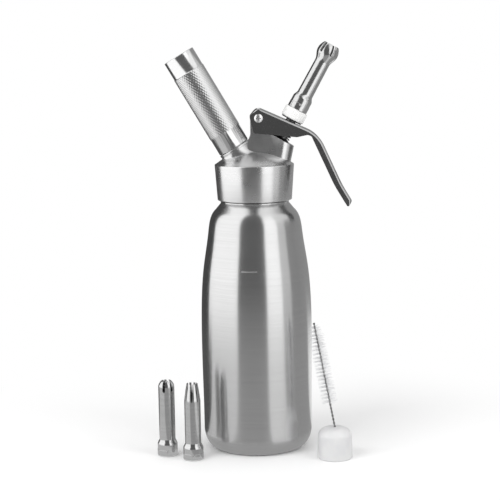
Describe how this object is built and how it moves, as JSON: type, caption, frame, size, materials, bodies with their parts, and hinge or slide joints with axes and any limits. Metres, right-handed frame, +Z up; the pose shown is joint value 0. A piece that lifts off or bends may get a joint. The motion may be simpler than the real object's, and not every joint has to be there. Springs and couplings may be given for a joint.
{
  "type": "whipped cream dispenser",
  "caption": "Steel cream whipper with screw-on head, tilted charger holder and lever valve, with spare nozzles and a brush standing in its cap.",
  "frame": {"origin": "middle of the bottle's foot, on the surface it stands on", "axes": "+Z up along the bottle, +X towards the lever and the nozzle, the charger holder leans to -X, and the front of the set is at -Y"},
  "size_m": [0.1729, 0.1104, 0.3561],
  "materials": {
    "bottle_steel": "fine brushing round the bottle",
    "head_steel": "satin",
    "holder_steel": "polished ends and a fine knurl",
    "lever_steel": "polished",
    "nozzle_steel": "polished",
    "valve_steel": "turned",
    "charger_shell": "plain zinc grey",
    "pin_brass": "turned",
    "white_plastic": "satin moulded",
    "cap_plastic": "soft translucent white",
    "black_plastic": "moulded",
    "black_rubber": "smooth",
    "gasket_silicone": "smooth",
    "brush_wire_steel": "twisted wire",
    "bristle_nylon": "fine clear nylon"
  },
  "bodies": {
    "bottle": {"bottle": "bottle_steel"},
    "gasket": {"head_gasket": "gasket_silicone"},
    "head": {"head": "head_steel", "piercing_pin": "pin_brass", "charger_seal": "black_rubber", "check_valve_flap": "black_rubber", "check_valve_ring": "valve_steel", "valve_guide_bush": "black_plastic", "stem_seal": "black_rubber", "valve_spring": "valve_steel", "lever_pin": "valve_steel", "lever_pin_screw": "valve_steel"},
    "charger": {"gas_charger": "charger_shell"},
    "holder": {"charger_holder": "holder_steel"},
    "valve": {"valve_stem": "valve_steel", "valve_disc": "black_rubber", "valve_nut": "valve_steel", "adapter_washer": "black_rubber", "nozzle_adapter": "white_plastic"},
    "lever": {"lever": "lever_steel"},
    "nozzle": {"tulip_nozzle": "nozzle_steel", "tulip_insert": "white_plastic"},
    "straight_nozzle": {"straight_nozzle": "nozzle_steel", "straight_insert": "white_plastic"},
    "pointed_nozzle": {"pointed_nozzle": "nozzle_steel", "pointed_insert": "white_plastic"},
    "cap": {"brush_cap": "cap_plastic"},
    "brush": {"brush_wire": "brush_wire_steel", "brush_bristles": "bristle_nylon"}
  },
  "joints": [
    {"name": "head_rise", "type": "slide", "parent": "bottle", "child": "gasket", "axis": [0, 0, 1], "range_m": [0, 0.024]},
    {"name": "head_turn", "type": "hinge", "parent": "gasket", "child": "head", "pos_m": [0, 0, 0.24], "axis": [0, 0, 1], "range_deg": [0, 1080]},
    {"name": "charger_rise", "type": "slide", "parent": "head", "child": "charger", "axis": [-0.5045, 0, 0.8634], "range_m": [0, 0.021]},
    {"name": "holder_turn", "type": "hinge", "parent": "charger", "child": "holder", "pos_m": [-0.01746, 0, 0.26607], "axis": [-0.5045, 0, 0.8634], "range_deg": [0, 2520]},
    {"name": "lever_press", "type": "hinge", "parent": "head", "child": "lever", "pos_m": [0.00414, 0, 0.29131], "axis": [0, 1, 0], "range_deg": [0, 10], "stiffness_Nm_per_rad": 3, "springref_deg": -9.74},
    {"name": "valve_stroke", "type": "slide", "parent": "head", "child": "valve", "axis": [-0.4848, 0, -0.8746], "range_m": [0, 0.0046], "deforming": ["valve_spring"]},
    {"name": "nozzle_off", "type": "slide", "parent": "valve", "child": "nozzle", "axis": [0.4848, 0, 0.8746], "range_m": [0, 0.03]},
    {"name": "straight_nozzle_lift", "type": "slide", "parent": "bottle", "child": "straight_nozzle", "axis": [0, 0, 1], "range_m": [0, 0.08]},
    {"name": "pointed_nozzle_lift", "type": "slide", "parent": "bottle", "child": "pointed_nozzle", "axis": [0, 0, 1], "range_m": [0, 0.08]},
    {"name": "cap_lift", "type": "slide", "parent": "bottle", "child": "cap", "axis": [0, 0, 1], "range_m": [0, 0.08]},
    {"name": "brush_pull", "type": "slide", "parent": "cap", "child": "brush", "axis": [-0.1857, 0, 0.9826], "range_m": [0, 0.1]}
  ],
  "couplings": [
    {"joint": "head_rise", "follows": "head_turn", "m_per_rad": 0.0012732},
    {"joint": "charger_rise", "follows": "holder_turn", "m_per_rad": 0.00047746},
    {"joint": "valve_stroke", "follows": "lever_press", "m_per_rad": 0.0262}
  ]
}
